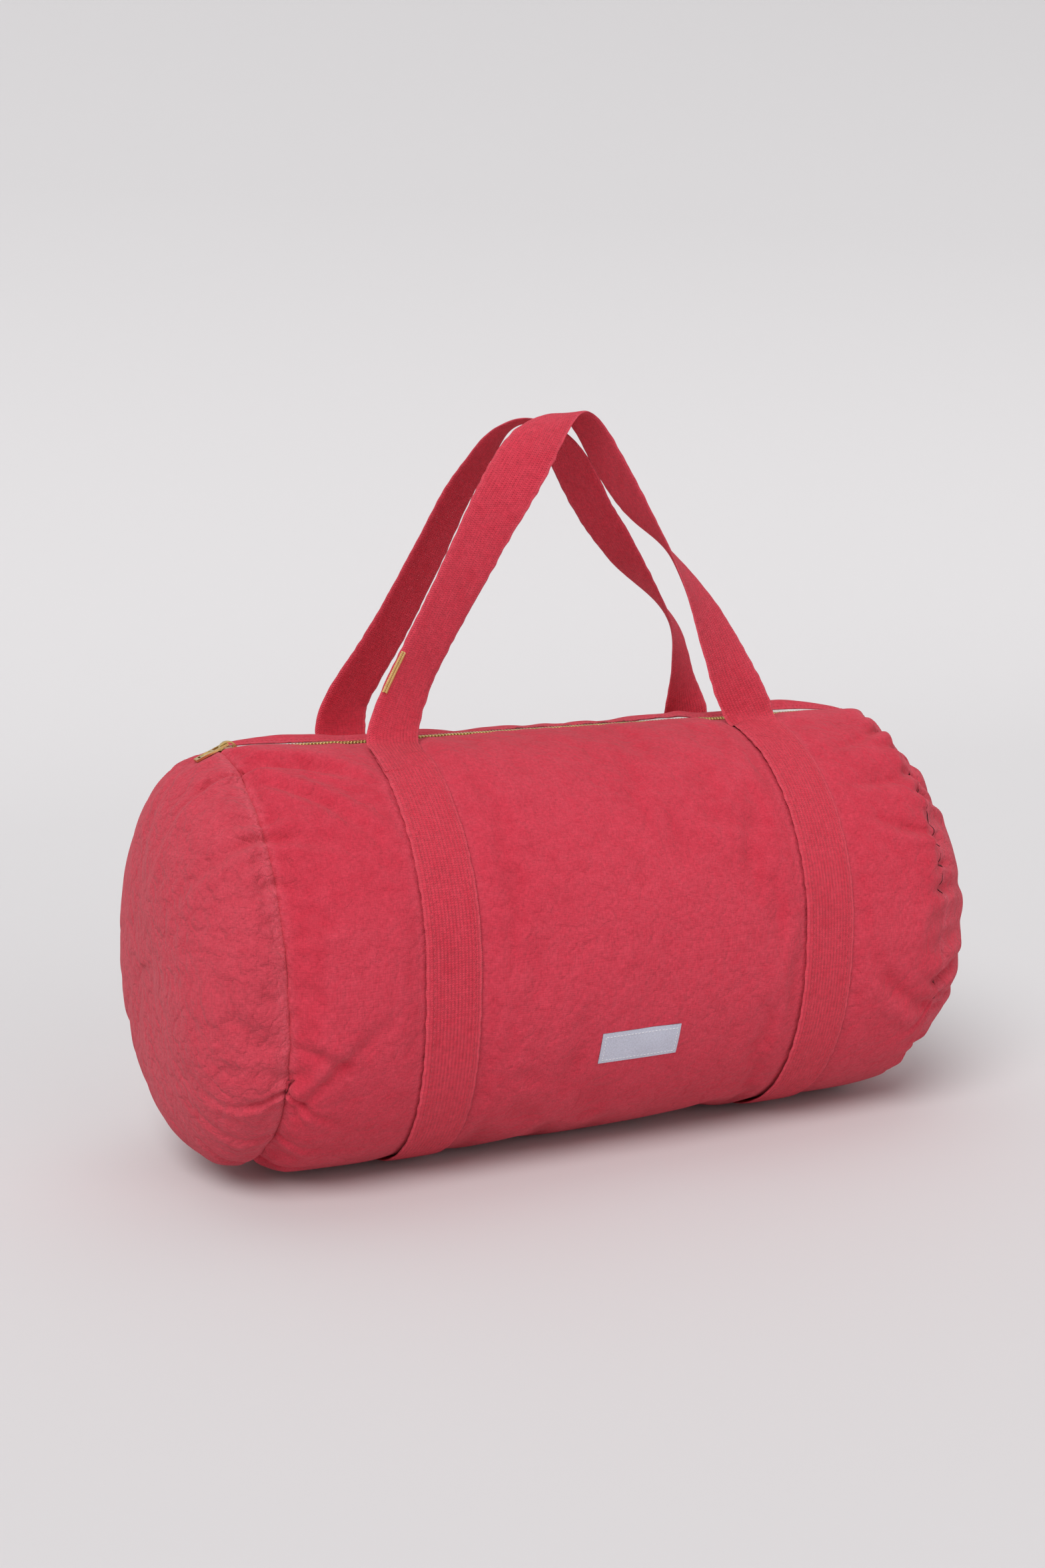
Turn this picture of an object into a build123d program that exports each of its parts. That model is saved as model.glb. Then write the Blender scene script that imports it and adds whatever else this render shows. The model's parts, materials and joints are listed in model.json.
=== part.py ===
"""Canvas duffel bag: a barrel body with domed ends, sewn-on webbing straps, two carry handles
and a metal zip along the top. Millimetres, +X along the barrel, -Y the front, +Z up. The origin
is on the floor under the middle of the bag."""
from build123d import *
import math
import os

os.makedirs("parts", exist_ok=True)

# ---- Barrel ----
barrel_length = 500.0          # seam to seam
barrel_radius = 130.0          # half the width, and the radius of the upper half of the section
barrel_height = 285.0          # underside of the canvas to its top
base_half_width = 30.0         # half of the flat underside
canvas_thickness = 1.2
dome_depth = 52.0              # how far an end panel bulges past its seam
binding_width = 4.0            # seam binding, along X
binding_height = 9.0           # seam binding, inwards

# ---- Webbing straps and handles ----
webbing_width = 38.0
webbing_thickness = 2.0
strap_spacing = 280.0          # between the centre lines of the two straps
fold_angle = 21.0              # from the top of the barrel to where a strap becomes a handle
handle_rise = 222.0            # fold to the top of the handle, along its lean
handle_tip_radius = 30.0       # bend at the top of the handle
handle_gap = 4.0               # between the two handles at the top
handle_clearance = 0.3         # between a laid-down handle and the strap under it
handle_start = 0.5             # hinge axis to the first section of the handle
handle_flat_length = 70.0      # the part of each leg that isn't twisted
leg_stations = 6               # sections along the twisted part of a leg
tip_stations = 6               # sections round the bend at the top

# ---- Mouth and zip ----
slot_half_angle = 20.5         # half of the opening in the barrel
mouth_overlap_angle = 4.0      # canvas of the mouth that stays under the barrel's edge
mouth_thickness = 1.0
mouth_end_clearance = 0.5      # mouth to the seam binding
slide_gap = 0.3                # between the mouth's canvas and the barrel's
zip_reveal = 6.5               # zip centre line to the canvas edge
tape_width = 14.0
tape_thickness = 0.6
tape_gap = 0.05                # tape to the teeth
tooth_length = 1.0
tooth_pitch = 2.4
tooth_reach = 3.8
tooth_thickness = 1.8
tooth_crossing = 0.9           # how far a tooth reaches past the centre line
teeth_end_margin = 24.0        # seam to the first tooth at the slider's end
stop_distance = 25.0           # seam to the far end's stop
stop_size = (6.0, 4.8, 2.4)
stop_round = 0.6
zip_stitch_inset = 2.5         # canvas edge to the row of stitching beside the zip

# ---- Slider and puller ----
slider_length = 15.0
slider_nose_width = 9.6
slider_tail_width = 7.4
slider_plate = 1.1
slider_round = 1.85            # corners of the slider's plates
slider_clearance = 0.4         # teeth to the plates
post_length = 3.0
post_width = 1.4
bridge_length = 12.2
bridge_height = 4.6
bridge_width = 3.2
bridge_wall = 1.0
bridge_foot = 1.2              # the bridge's wall where it stands on the slider
bridge_inset = 0.8             # slider's nose to the bridge
spring_thickness = 0.25
spring_length = 3.2
spring_width = 2.2
puller_length = 22.0
puller_width = 5.4
puller_thickness = 1.2
puller_fork_length = 9.2
puller_fork_gap = 3.8
puller_pin_radius = 0.6
puller_pin_height = 2.5        # above the slider's top plate
puller_pin_offset = 0.8        # from the middle of the bridge, towards the nose
puller_slot_size = (1.5, 3.2)
puller_slot_margin = 3.0
puller_recess_size = (6.5, 3.4)
puller_recess_depth = 0.25

# ---- Label and stitching ----
label_width = 58.0
label_height = 22.0
label_middle = (-4.5, 87.0)    # X and Z
label_thickness = 0.9
label_stitch_inset = 2.5
thread_width = 0.8
thread_thickness = 0.2
strap_stitch_inset = 5.0
strap_stitch_low_z = 40.0      # the rows end where the strap turns under the bag
tack_line_margin = 1.0         # ends of the slanted row to the rows along the strap
tack_line_slope = 25.0
tack_line_angle = 27.0         # middle of the slanted row, from the top of the barrel
bar_tack_size = (4.0, 27.0, 0.8)
bar_tack_rise = 46.0           # hinge to the middle of the bar tack

# ---- Worked out from the sizes above ----
half_length = barrel_length / 2
top_centre_z = webbing_thickness + barrel_height - barrel_radius
corner_radius = barrel_radius - base_half_width
corner_z = webbing_thickness + corner_radius
dome_centre_z = webbing_thickness + barrel_height / 2
mouth_radius = barrel_radius - canvas_thickness - slide_gap - thread_thickness
mouth_inner_radius = mouth_radius - mouth_thickness
mouth_half_length = half_length - binding_width - mouth_end_clearance
tape_inner_radius = mouth_inner_radius - tape_thickness
tooth_z = top_centre_z + mouth_inner_radius - tape_thickness / 2
tooth_top_z = tooth_z + tooth_thickness / 2
plate_top_z = tooth_top_z + slider_clearance + slider_plate
strap_stitch_offset = webbing_width / 2 - strap_stitch_inset
tack_line_across = 2 * (strap_stitch_offset - thread_width / 2 - tack_line_margin)
tack_line_length = tack_line_across / math.cos(math.radians(tack_line_slope))


def angle_at(offset, radius):
    """Angle from the top of the barrel, in degrees, of a point this far from the middle."""
    return math.degrees(math.asin(offset / radius))


def draw_barrel(grow=0.0, size=1.0, mode=Mode.ADD):
    """The barrel's section, grown by a distance and then scaled about the dome's centre."""
    top_z = dome_centre_z + (top_centre_z - dome_centre_z) * size
    low_z = dome_centre_z + (corner_z - dome_centre_z) * size
    flat = base_half_width * size
    top_radius = (barrel_radius + grow) * size
    low_radius = (corner_radius + grow) * size
    with BuildLine() as outline:
        CenterArc((0, top_z), top_radius, 0, 180)
        Line((-top_radius, top_z), (-top_radius, low_z))
        CenterArc((-flat, low_z), low_radius, 180, 90)
        Line((-flat, low_z - low_radius), (flat, low_z - low_radius))
        CenterArc((flat, low_z), low_radius, 270, 90)
        Line((top_radius, low_z), (top_radius, top_z))
    make_face(outline.edges(), mode=mode)


def cut_wedge(half_angle):
    """Take away the part of a section that is within half_angle of the top."""
    reach = 2 * barrel_radius
    side = reach * math.tan(math.radians(half_angle))
    with BuildLine() as wedge:
        Polyline((0, top_centre_z), (side, top_centre_z + reach), (-side, top_centre_z + reach), close=True)
    make_face(wedge.edges(), mode=Mode.SUBTRACT)


def draw_sector(inner, outer, from_angle, to_angle, side):
    """A piece of a ring about the barrel's upper centre. side is -1 for the front, 1 for the rear."""
    start = 90 - side * from_angle
    turn = -side * (to_angle - from_angle)
    with BuildLine() as sector:
        low_arc = CenterArc((0, top_centre_z), inner, start, turn)
        high_arc = CenterArc((0, top_centre_z), outer, start, turn)
        Line(low_arc @ 0, high_arc @ 0)
        Line(low_arc @ 1, high_arc @ 1)
    make_face(sector.edges())


def save(piece, name):
    """Name a finished piece and write it."""
    piece.part.label = name
    export_step(piece.part, f"parts/{name}.step")


# ---- Barrel, end panels and seam bindings ----
with BuildPart() as body_panel:
    with BuildSketch(Plane.YZ.offset(-half_length)):
        draw_barrel()
        draw_barrel(grow=-canvas_thickness, mode=Mode.SUBTRACT)
        cut_wedge(slot_half_angle)
    extrude(amount=barrel_length)
save(body_panel, "body_panel")

dome_angles = (0, 22, 42, 58, 71, 81)


def dome_sections(end, depth, grow):
    """Ever smaller copies of the barrel's section, stepping out from the seam at one end."""
    sections = []
    for angle in dome_angles:
        bulge = depth * math.sin(math.radians(angle))
        with BuildSketch(Plane.YZ.offset(end * (half_length + bulge))) as section:
            draw_barrel(grow=grow, size=math.cos(math.radians(angle)))
        sections.append(section.sketch)
    return sections


for end, end_name in ((-1, "left"), (1, "right")):
    with BuildPart() as end_panel:
        loft(dome_sections(end, dome_depth, 0.0), ruled=True)
        loft(dome_sections(end, dome_depth - canvas_thickness, -canvas_thickness), ruled=True,
             mode=Mode.SUBTRACT)
    save(end_panel, f"end_panel_{end_name}")

    with BuildPart() as seam_binding:
        with BuildSketch(Plane.YZ.offset(end * half_length)):
            draw_barrel(grow=-canvas_thickness)
            draw_barrel(grow=-canvas_thickness - binding_height, mode=Mode.SUBTRACT)
            cut_wedge(slot_half_angle)
        extrude(amount=-end * binding_width)
    save(seam_binding, f"seam_binding_{end_name}")

# ---- Straps sewn round the barrel, and their stitching ----
for end, end_name in ((-1, "left"), (1, "right")):
    strap_x = end * strap_spacing / 2
    with BuildPart() as strap:
        with BuildSketch(Plane.YZ.offset(strap_x)):
            draw_barrel(grow=webbing_thickness)
            draw_barrel(mode=Mode.SUBTRACT)
            cut_wedge(fold_angle)
        extrude(amount=webbing_width / 2, both=True)
    save(strap, f"strap_{end_name}")

    with BuildPart() as strap_stitching:
        for row in (-1, 1):
            with BuildSketch(Plane.YZ.offset(strap_x + row * strap_stitch_offset)):
                draw_barrel(grow=webbing_thickness + thread_thickness)
                draw_barrel(grow=webbing_thickness, mode=Mode.SUBTRACT)
                cut_wedge(fold_angle)
                with Locations((0, strap_stitch_low_z)):
                    Rectangle(4 * barrel_radius, barrel_height, align=(Align.CENTER, Align.MAX),
                              mode=Mode.SUBTRACT)
            extrude(amount=thread_width / 2, both=True)
    save(strap_stitching, f"strap_stitching_{end_name}")

with BuildPart() as strap_tack_stitching:
    for end in (-1, 1):
        for side in (-1, 1):
            middle = Plane((0, 0, top_centre_z)).rotated((side * -tack_line_angle, 0, 0))
            with BuildSketch(middle.offset(barrel_radius)):
                with Locations((end * strap_spacing / 2, 0)):
                    Rectangle(tack_line_length, thread_width, rotation=side * -tack_line_slope)
            extrude(amount=webbing_thickness + 2 * thread_thickness)
    with BuildSketch(Plane.YZ):
        draw_barrel(grow=webbing_thickness + thread_thickness)
        draw_barrel(grow=webbing_thickness, mode=Mode.SUBTRACT)
    extrude(amount=half_length, both=True, mode=Mode.INTERSECT)
save(strap_tack_stitching, "strap_tack_stitching")

# ---- Label on the front, left blank, and the running stitch that holds it ----
with BuildPart() as label:
    with BuildSketch(Plane.YZ.offset(label_middle[0])):
        draw_barrel(grow=label_thickness)
        draw_barrel(mode=Mode.SUBTRACT)
        with Locations((-barrel_radius, label_middle[1])):
            Rectangle(barrel_radius, label_height, mode=Mode.INTERSECT)
    extrude(amount=label_width / 2, both=True)
save(label, "label")

with BuildPart() as label_stitching:
    for inset, mode in ((label_stitch_inset, Mode.ADD), (label_stitch_inset + thread_width, Mode.SUBTRACT)):
        with BuildSketch(Plane.YZ.offset(label_middle[0])):
            draw_barrel(grow=label_thickness + thread_thickness)
            draw_barrel(grow=label_thickness, mode=Mode.SUBTRACT)
            with Locations((-barrel_radius, label_middle[1])):
                Rectangle(barrel_radius, label_height - 2 * inset, mode=Mode.INTERSECT)
        extrude(amount=label_width / 2 - inset, both=True, mode=mode)
save(label_stitching, "label_stitching")

# ---- Mouth: the two canvas edges of the opening, each with its half of the zip ----
teeth_low_x = -half_length + teeth_end_margin
teeth_high_x = half_length - stop_distance - stop_size[0] / 2 - tooth_length
tooth_count = int((teeth_high_x - teeth_low_x - tooth_pitch / 2) / tooth_pitch)
tape_inner_offset = tooth_reach - tooth_crossing + tape_gap
stitch_middle_angle = angle_at(zip_reveal + zip_stitch_inset, mouth_radius)
stitch_half_angle = angle_at(thread_width / 2, mouth_radius)

for side, side_name in ((-1, "front"), (1, "rear")):
    with BuildPart() as mouth_canvas:
        with BuildSketch(Plane.YZ):
            draw_sector(mouth_inner_radius, mouth_radius, angle_at(zip_reveal, mouth_radius),
                        slot_half_angle + mouth_overlap_angle, side)
        extrude(amount=mouth_half_length, both=True)
    save(mouth_canvas, f"mouth_canvas_{side_name}")

    with BuildPart() as zip_stitching:
        with BuildSketch(Plane.YZ):
            draw_sector(mouth_radius, mouth_radius + thread_thickness,
                        stitch_middle_angle - stitch_half_angle,
                        stitch_middle_angle + stitch_half_angle, side)
        extrude(amount=mouth_half_length, both=True)
    save(zip_stitching, f"zip_stitching_{side_name}")

    with BuildPart() as zip_tape:
        with BuildSketch(Plane.YZ):
            draw_sector(tape_inner_radius, mouth_inner_radius,
                        angle_at(tape_inner_offset, mouth_inner_radius),
                        angle_at(tape_inner_offset + tape_width, mouth_inner_radius), side)
        extrude(amount=mouth_half_length, both=True)
    save(zip_tape, f"zip_tape_{side_name}")

    first_x = teeth_low_x + (0 if side < 0 else tooth_pitch / 2)
    tooth_y = side * (tooth_reach / 2 - tooth_crossing)
    with BuildPart() as zip_teeth:
        with Locations([(first_x + i * tooth_pitch, tooth_y, tooth_z) for i in range(tooth_count)]):
            Box(tooth_length, tooth_reach, tooth_thickness)
    save(zip_teeth, f"zip_teeth_{side_name}")

with BuildPart() as zip_bottom_stop:
    with Locations((half_length - stop_distance, 0, tooth_z)):
        Box(*stop_size)
    fillet(zip_bottom_stop.edges().filter_by(Axis.X), radius=stop_round)
save(zip_bottom_stop, "zip_bottom_stop")

# ---- Zip slider: two plates joined by a post at the nose, a bridge and a lock spring ----
nose_x = -half_length
tail_x = nose_x + slider_length
lower_plate_z = tooth_z - tooth_thickness / 2 - slider_clearance - slider_plate
with BuildPart() as zip_slider_body:
    for plate_z in (lower_plate_z, plate_top_z - slider_plate):
        with BuildSketch(Plane.XY.offset(plate_z)) as plate:
            with BuildLine():
                Polyline((nose_x, -slider_nose_width / 2), (tail_x, -slider_tail_width / 2),
                         (tail_x, slider_tail_width / 2), (nose_x, slider_nose_width / 2), close=True)
            make_face()
            fillet(plate.vertices(), radius=slider_round)
        extrude(amount=slider_plate)
    with BuildSketch(Plane.XY.offset(lower_plate_z)):
        with Locations((nose_x + post_length / 2, 0)):
            Rectangle(post_length, post_width)
    extrude(amount=plate_top_z - lower_plate_z)
save(zip_slider_body, "zip_slider_body")

bridge_middle_x = nose_x + bridge_inset + bridge_length / 2
with BuildPart() as zip_slider_bridge:
    with BuildSketch(Plane.XZ):
        for foot, wall, mode in ((0.0, 0.0, Mode.ADD), (bridge_foot, bridge_wall, Mode.SUBTRACT)):
            reach = bridge_length / 2 - foot
            with BuildLine():
                ThreePointArc((bridge_middle_x - reach, plate_top_z),
                              (bridge_middle_x, plate_top_z + bridge_height - wall),
                              (bridge_middle_x + reach, plate_top_z))
                Line((bridge_middle_x + reach, plate_top_z), (bridge_middle_x - reach, plate_top_z))
            make_face(mode=mode)
    extrude(amount=bridge_width / 2, both=True)
save(zip_slider_bridge, "zip_slider_bridge")

spring_low_x = bridge_middle_x + puller_pin_radius
spring_height = puller_pin_height - 2 * puller_pin_radius + spring_thickness
with BuildPart() as zip_lock_spring:
    with BuildSketch(Plane.XZ):
        with BuildLine():
            Polyline((spring_low_x, plate_top_z + spring_height),
                     (spring_low_x + spring_length, plate_top_z + spring_height),
                     (spring_low_x + spring_length, plate_top_z),
                     (spring_low_x + spring_length - spring_thickness, plate_top_z),
                     (spring_low_x + spring_length - spring_thickness,
                      plate_top_z + spring_height - spring_thickness),
                     (spring_low_x, plate_top_z + spring_height - spring_thickness), close=True)
        make_face()
    extrude(amount=spring_width / 2, both=True)
save(zip_lock_spring, "zip_lock_spring")

# The puller hangs towards the nose, as low as it can without meeting the teeth further along.
pin_x = bridge_middle_x - puller_pin_offset
pin_z = plate_top_z + puller_pin_height
puller_drop = pin_z - puller_thickness / 2 - tooth_top_z - slider_clearance / 2
puller_tilt = math.asin(puller_drop / puller_length)
puller_plane = Plane((pin_x, 0, pin_z), x_dir=(-math.cos(puller_tilt), 0, -math.sin(puller_tilt)),
                     z_dir=(-math.sin(puller_tilt), 0, math.cos(puller_tilt)))
with BuildPart() as zip_puller:
    with BuildSketch(puller_plane) as puller_outline:
        with Locations((-puller_pin_radius, 0)):
            Rectangle(puller_length + puller_pin_radius, puller_width, align=(Align.MIN, Align.CENTER))
        fillet(puller_outline.vertices(), radius=puller_pin_radius)
        with Locations((-puller_pin_radius, 0)):
            Rectangle(puller_fork_length + puller_pin_radius, puller_fork_gap,
                      align=(Align.MIN, Align.CENTER), mode=Mode.SUBTRACT)
        with Locations((puller_length - puller_slot_margin, 0)):
            Rectangle(*puller_slot_size, mode=Mode.SUBTRACT)
    extrude(amount=puller_thickness / 2, both=True)
    recess_middle = (puller_fork_length + puller_length - puller_slot_margin) / 2
    for face, way in ((1, -1), (-1, 1)):
        with BuildSketch(puller_plane.offset(face * puller_thickness / 2)):
            with Locations((recess_middle, 0)):
                Rectangle(*puller_recess_size)
        extrude(amount=way * puller_recess_depth, mode=Mode.SUBTRACT)
    with BuildSketch(Plane.XZ):
        with Locations((pin_x, pin_z)):
            Circle(puller_pin_radius)
    extrude(amount=puller_width / 2, both=True)
save(zip_puller, "zip_puller")

# ---- Handles: webbing that is flat where it leaves a strap and turns edgeways at the top ----
pivot_radius = barrel_radius + 1.5 * webbing_thickness + handle_clearance
pivot_y = pivot_radius * math.sin(math.radians(fold_angle))
pivot_z = top_centre_z + pivot_radius * math.cos(math.radians(fold_angle))
lean = math.asin((pivot_y - (handle_gap + webbing_width) / 2) / handle_rise)
half_span = strap_spacing / 2


def handle_centre_line():
    """Points of one leg and half of the bend, as (across, up, slope, distance) from the left fold."""
    peak = handle_rise
    for _ in range(40):
        half_peak_angle = math.atan(half_span / peak)
        peak = handle_rise + handle_tip_radius * (1 / math.sin(half_peak_angle) - 1)
    slope = math.atan(peak / half_span)
    leg_length = math.hypot(half_span, peak) - handle_tip_radius / math.tan(half_peak_angle)
    points = [(-half_span, handle_start, slope, 0.0)]
    for i in range(leg_stations + 1):
        along = handle_flat_length + (leg_length - handle_flat_length) * i / leg_stations
        points.append((-half_span + along * math.cos(slope), along * math.sin(slope), slope, along))
    for i in range(1, tip_stations // 2 + 1):
        turn = slope * i / (tip_stations / 2)
        angle = math.pi / 2 + slope - turn
        points.append((handle_tip_radius * math.cos(angle),
                       handle_rise - handle_tip_radius + handle_tip_radius * math.sin(angle),
                       slope - turn, leg_length + handle_tip_radius * turn))
    return points


def handle_section(side, mirror, across, up, slope, twist, level=False):
    """One rectangle of webbing, on the leaning plane of the front (-1) or rear (1) handle."""
    lean_up = Vector(0, -side * math.sin(lean), math.cos(lean))
    inward = Vector(0, -side * math.cos(lean), -math.sin(lean))
    run = Vector(math.cos(slope), 0, 0) + lean_up * (mirror * math.sin(slope))
    outer = Vector(-mirror * math.sin(slope), 0, 0) + lean_up * math.cos(slope)
    if level:
        run = lean_up * mirror
        outer = Vector(-mirror, 0, 0)
    middle = Vector(mirror * across, side * pivot_y, pivot_z) + lean_up * up
    width_way = outer * math.cos(twist) + inward * math.sin(twist)
    with BuildSketch(Plane(middle, x_dir=width_way, z_dir=run)) as section:
        Rectangle(webbing_width, webbing_thickness)
    return section.sketch


leg = handle_centre_line()
leg_end = leg[-1][3]
for side, side_name in ((-1, "front"), (1, "rear")):
    stations = []
    for across, up, slope, distance in leg:
        share = max(0.0, distance - handle_flat_length) / (leg_end - handle_flat_length)
        twist = math.pi / 2 * share * share * (3 - 2 * share)
        stations.append((across, up, slope, twist))
    near_leg = [handle_section(side, 1, *station, level=i == 0) for i, station in enumerate(stations)]
    far_leg = [handle_section(side, -1, *station, level=i == 0) for i, station in enumerate(stations)]
    with BuildPart() as handle:
        loft(near_leg + far_leg[-2::-1], ruled=True)
    save(handle, f"handle_{side_name}")

# The bar tack lies on the outer face of the front handle, along the left edge of its left leg.
leg_slope = leg[0][2]
tack_across = -half_span + bar_tack_rise / math.tan(leg_slope)
tack_lean_up = Vector(0, math.sin(lean), math.cos(lean))
tack_outward = Vector(0, -math.cos(lean), math.sin(lean))
tack_run = Vector(math.cos(leg_slope), 0, 0) + tack_lean_up * math.sin(leg_slope)
tack_plane = Plane(Vector(tack_across, -pivot_y, pivot_z) + tack_lean_up * bar_tack_rise
                   + tack_outward * (webbing_thickness / 2),
                   x_dir=tack_run, z_dir=tack_outward)
with BuildPart() as handle_bar_tack:
    with BuildSketch(tack_plane):
        with Locations((0, webbing_width / 2 - bar_tack_size[0] / 2)):
            Rectangle(bar_tack_size[1], bar_tack_size[0])
    extrude(amount=bar_tack_size[2])
save(handle_bar_tack, "handle_bar_tack")
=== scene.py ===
"""Looks for the canvas duffel bag. Metres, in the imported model's frame: +X along the barrel,
-Y the front, +Z up."""
import json
import math
import random

import bpy
import numpy as np
from mathutils import Euler, Matrix, Vector, noise


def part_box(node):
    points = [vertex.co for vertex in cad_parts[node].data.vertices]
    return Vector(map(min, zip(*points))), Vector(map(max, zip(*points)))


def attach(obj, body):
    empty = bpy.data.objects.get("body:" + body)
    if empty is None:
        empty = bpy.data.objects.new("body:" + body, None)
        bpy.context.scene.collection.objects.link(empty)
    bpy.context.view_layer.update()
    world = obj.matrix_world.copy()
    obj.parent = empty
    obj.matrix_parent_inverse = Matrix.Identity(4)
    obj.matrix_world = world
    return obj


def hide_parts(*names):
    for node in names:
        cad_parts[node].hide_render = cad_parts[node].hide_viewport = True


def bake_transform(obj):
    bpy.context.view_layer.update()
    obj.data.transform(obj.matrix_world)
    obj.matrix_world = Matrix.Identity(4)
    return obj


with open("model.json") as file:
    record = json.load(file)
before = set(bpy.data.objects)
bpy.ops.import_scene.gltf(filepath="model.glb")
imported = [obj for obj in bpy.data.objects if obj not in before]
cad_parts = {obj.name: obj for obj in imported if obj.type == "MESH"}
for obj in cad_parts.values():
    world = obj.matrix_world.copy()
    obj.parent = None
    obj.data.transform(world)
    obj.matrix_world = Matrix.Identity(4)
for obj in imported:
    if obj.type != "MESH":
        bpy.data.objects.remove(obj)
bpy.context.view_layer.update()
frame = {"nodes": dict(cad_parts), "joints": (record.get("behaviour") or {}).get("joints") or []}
MM = 0.001

# ---- Sizes shared with the CAD frame ----
half_length, barrel_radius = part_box("body_panel")[1][:2]
joints = {joint["name"]: joint for joint in frame["joints"]}
top_centre_z = joints["mouth_front_open"]["pos_m"][2]
handle_pivot = Vector(joints["handle_front_swing"]["pos_m"])
strap_low, strap_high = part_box("strap_right")
webbing_width = strap_high[0] - strap_low[0]
strap_x = (strap_high[0] + strap_low[0]) / 2
tooth_low, tooth_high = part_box("zip_teeth_front")
tooth_z = (tooth_low[2] + tooth_high[2]) / 2
puller_pin = Vector(joints["puller_swing"]["pos_m"])
puller_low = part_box("zip_puller")[0]
puller_tilt = math.atan2(puller_pin.z - puller_low[2], puller_pin.x - puller_low[0])

canvas_thickness = 1.2 * MM
webbing_thickness = 2.5 * MM
strap_lift = 1.1 * MM
zip_reveal = 6.5 * MM
floor_contact = 2.2 * MM
lowest_cloth = 1.4 * MM
puller_hang = math.radians(14)                 # how far the puller hangs below its CAD place
puller_stretch = (1.05, 1.45, 1.35, 1.0)
deg = math.pi / 180


def add_object(name, data):
    made = bpy.data.objects.new(name, data)
    bpy.context.collection.objects.link(made)
    return made


# ---- Camera, light and floor ----
def add_camera():
    camera = add_object("camera", bpy.data.cameras.new("camera"))
    camera.data.lens = 45.57
    camera.data.sensor_width = 36
    aim = Euler((math.radians(90 - 8.11), 0, math.radians(-24.95))).to_matrix()
    roll = Matrix.Rotation(math.radians(-0.70), 3, "Z")
    camera.matrix_world = Matrix.Translation((-0.6131, -1.2530, 0.4441)) @ (aim @ roll).to_4x4()
    bpy.context.scene.camera = camera


def add_sun(name, from_where, power, softness):
    light = bpy.data.lights.new(name, "SUN")
    light.energy = power
    light.angle = math.radians(softness)
    add_object(name, light).rotation_euler = Vector(from_where).to_track_quat("Z", "Y").to_euler()


def add_stage():
    """A pale floor that curves up into a backdrop."""
    depth, height, bend = 4.0, 6.0, 2.5
    profile = [(-8.0, 0.0), (0.0, 0.0), (depth - bend, 0.0)]
    for step in range(1, 13):
        turn = math.pi / 2 * step / 12
        profile.append((depth - bend + bend * math.sin(turn), bend - bend * math.cos(turn)))
    profile.append((depth, height))
    verts = [(x, y, z) for y, z in profile for x in (-9.0, 9.0)]
    faces = [(2 * i, 2 * i + 1, 2 * i + 3, 2 * i + 2) for i in range(len(profile) - 1)]
    mesh = bpy.data.meshes.new("floor")
    mesh.from_pydata(verts, [], faces)
    mesh.shade_smooth()
    paper, tree, shader = new_material("floor_paper")
    place = node(tree, "ShaderNodeSeparateXYZ", Vector=node(tree, "ShaderNodeTexCoord").outputs["Object"])
    # The paper is painted darker up the backdrop: painted shade that evens out how the lamps light the floor
    # and the curved backdrop.
    rise = value_range(tree, place.outputs[2], 0.0, 1.2)
    shade = mix_colour(tree, rise, (0.700, 0.686, 0.693), (0.615, 0.603, 0.609))
    tree.links.new(shade, shader.inputs["Base Color"])
    shader.inputs["Roughness"].default_value = 0.9
    shader.inputs["Specular IOR Level"].default_value = 0.1
    mesh.materials.append(paper)
    add_object("floor", mesh)


def add_light():
    world = bpy.data.worlds.new("studio")
    bpy.context.scene.world = world
    world.use_nodes = True
    world.node_tree.nodes["Background"].inputs["Color"].default_value = (1.0, 0.995, 1.0, 1)
    world.node_tree.nodes["Background"].inputs["Strength"].default_value = 0.40
    add_sun("key", (-0.75, -0.8, 1.15), 1.95, 34)
    add_sun("top", (0.15, 0.35, 1.0), 0.40, 60)
    add_sun("front_fill", (0.45, -1.0, 0.22), 0.62, 50)
    bpy.context.scene.view_settings.view_transform = "Standard"


# ---- Materials ----
def new_material(name):
    material = bpy.data.materials.new(name)
    material.use_nodes = True
    return material, material.node_tree, material.node_tree.nodes["Principled BSDF"]


def node(tree, kind, **settings):
    made = tree.nodes.new(kind)
    for key, value in settings.items():
        if isinstance(value, bpy.types.NodeSocket):
            tree.links.new(value, made.inputs[key])
        elif key in made.inputs:
            made.inputs[key].default_value = value
        else:
            setattr(made, key, value)
    return made


def maths(tree, operation, first, second=None):
    made = tree.nodes.new("ShaderNodeMath")
    made.operation = operation
    for slot, value in enumerate((first, second)):
        if isinstance(value, bpy.types.NodeSocket):
            tree.links.new(value, made.inputs[slot])
        elif value is not None:
            made.inputs[slot].default_value = value
    return made.outputs[0]


def times(tree, first, second):
    return maths(tree, "MULTIPLY", first, second)


def plus(tree, first, second):
    return maths(tree, "ADD", first, second)


def mix_colour(tree, factor, first, second):
    made = tree.nodes.new("ShaderNodeMix")
    made.data_type = "RGBA"
    for slot, value in ((0, factor), (6, first), (7, second)):
        if isinstance(value, bpy.types.NodeSocket):
            tree.links.new(value, made.inputs[slot])
        else:
            made.inputs[slot].default_value = value if slot == 0 else (*value, 1)
    return made.outputs[2]


def value_range(tree, value, low, high, to_low=0.0, to_high=1.0):
    made = tree.nodes.new("ShaderNodeMapRange")
    tree.links.new(value, made.inputs["Value"])
    for key, number in (("From Min", low), ("From Max", high), ("To Min", to_low), ("To Max", to_high)):
        made.inputs[key].default_value = number
    return made.outputs["Result"]


def cloth_noise(tree, uv, scale, detail=3.0, stretch=(1, 1, 1)):
    mapping = tree.nodes.new("ShaderNodeMapping")
    mapping.inputs["Scale"].default_value = stretch
    tree.links.new(uv, mapping.inputs["Vector"])
    made = tree.nodes.new("ShaderNodeTexNoise")
    made.inputs["Scale"].default_value = scale
    made.inputs["Detail"].default_value = detail
    tree.links.new(mapping.outputs["Vector"], made.inputs["Vector"])
    return made.outputs["Fac"]


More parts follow.
